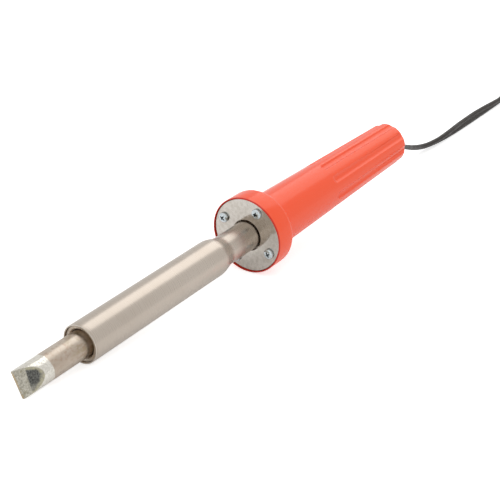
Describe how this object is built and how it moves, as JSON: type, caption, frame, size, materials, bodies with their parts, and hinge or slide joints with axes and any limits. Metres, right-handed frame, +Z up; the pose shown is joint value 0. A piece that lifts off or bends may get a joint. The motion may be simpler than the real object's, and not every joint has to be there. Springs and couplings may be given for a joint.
{
  "type": "electric soldering iron",
  "caption": "Heavy electric soldering iron: steel barrel with a chisel tip, flanged and fluted plastic handle with a screwed front plate, flat mains lead with its hank and plug.",
  "frame": {"origin": "under the middle of the iron's length, on the surface that it rests on, measured without the lead, its hank and its plug", "axes": "the tip points to -X and 4.9 degrees down, the handle to +X; +Z is up from the surface"},
  "size_m": [0.7133, 0.128, 0.0546],
  "materials": {
    "tip": "satin, tinned at the working end",
    "barrel_steel": "satin, heat-tinted",
    "inner_steel": "satin",
    "ceramic": "matt",
    "mica": "satin",
    "heater_wire": "dull",
    "plate_steel": "mottled satin",
    "screw_zinc": "bright zinc plate",
    "handle_red": "satin gloss",
    "fibre": "matt",
    "glass_sleeve": "woven",
    "connector_brass": "bright",
    "lead_vinyl": "satin",
    "tie": "matt",
    "plug_vinyl": "satin",
    "blade_brass": "bright"
  },
  "bodies": {
    "iron": {"barrel": "barrel_steel", "tip_collar": "inner_steel", "heater_former": "ceramic", "heater_winding": "heater_wire", "mica_sleeve": "mica", "rear_insulator": "ceramic", "front_plate": "plate_steel", "plate_gasket": "fibre", "neck_ring": "inner_steel", "plate_screw_1": "screw_zinc", "plate_screw_2": "screw_zinc", "plate_screw_3": "screw_zinc", "plate_screw_4": "screw_zinc", "handle": "handle_red", "heater_lead_1": "heater_wire", "lead_sleeve_1": "glass_sleeve", "connector_1": "connector_brass", "connector_cover_1": "glass_sleeve", "cord_core_1": "lead_vinyl", "heater_lead_2": "heater_wire", "lead_sleeve_2": "glass_sleeve", "connector_2": "connector_brass", "connector_cover_2": "glass_sleeve", "cord_core_2": "lead_vinyl", "cord_inside_handle": "lead_vinyl", "cord_clip": "inner_steel", "cord_free": "lead_vinyl", "cord_hank": "lead_vinyl", "hank_tie": "tie", "cord_tail": "lead_vinyl", "plug_body": "plug_vinyl", "plug_blade_1": "blade_brass", "plug_blade_2": "blade_brass"},
    "tip": {"chisel_tip": "tip"},
    "set_screw": {"tip_set_screw": "inner_steel"}
  },
  "joints": [
    {"name": "tip_slide", "type": "slide", "parent": "iron", "child": "tip", "axis": [-0.9963, 0, -0.0856], "range_m": [-0.01, 0.06]},
    {"name": "set_screw_slide", "type": "slide", "parent": "iron", "child": "set_screw", "axis": [0.0533, 0.7826, -0.6202], "range_m": [0, 0.002]}
  ]
}
